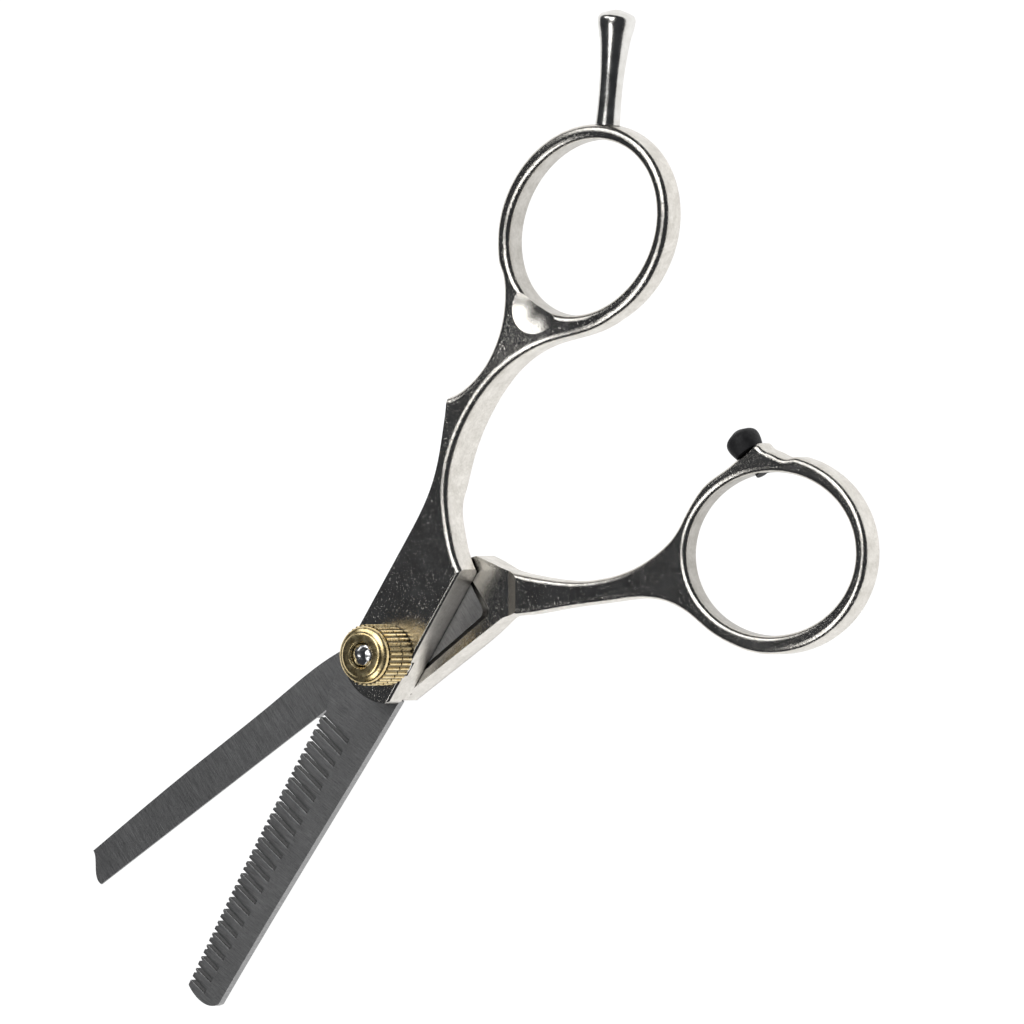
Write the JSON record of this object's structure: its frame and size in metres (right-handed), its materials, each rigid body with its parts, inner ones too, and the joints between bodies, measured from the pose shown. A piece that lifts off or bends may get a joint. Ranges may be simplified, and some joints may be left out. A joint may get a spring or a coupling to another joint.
{
  "type": "thinning shears",
  "caption": "Hairdresser's thinning shears with one comb blade and one plain blade, a screwed finger rest, a rubber bumper and a knurled tension knob.",
  "frame": {"origin": "on the pivot axis, at the flat back of the thumb casting's pad and of the flush screw head", "axes": "+Z along the pivot towards the tension knob, +Y from the pivot towards the finger ring, -Y along the toothed blade, +X towards the thumb ring"},
  "size_m": [0.0874, 0.1536, 0.0163],
  "materials": {
    "plated_casting": "polished nickel plating",
    "blade_steel": "brushed",
    "turned_brass": "polished",
    "bright_steel": "polished",
    "bumper_rubber": "matte"
  },
  "bodies": {
    "finger_half": {"finger_handle": "plated_casting", "toothed_blade": "blade_steel", "toothed_blade_pegs": "bright_steel", "finger_rest": "plated_casting", "pivot_bush": "turned_brass", "thrust_washer": "bright_steel", "spring_washer": "bright_steel"},
    "thumb_half": {"thumb_handle": "plated_casting", "plain_blade": "blade_steel", "plain_blade_pegs": "bright_steel", "bumper": "bumper_rubber", "pivot_screw": "bright_steel"},
    "knob": {"tension_knob": "turned_brass"}
  },
  "joints": [
    {"name": "blade_pivot", "type": "hinge", "parent": "finger_half", "child": "thumb_half", "pos_m": [0, 0, 0.0047], "axis": [0, 0, 1], "range_deg": [-60, 21]},
    {"name": "knob_turn", "type": "hinge", "parent": "thumb_half", "child": "knob", "pos_m": [0, 0, 0.013], "axis": [0, 0, 1], "range_deg": [-90, 90]}
  ]
}
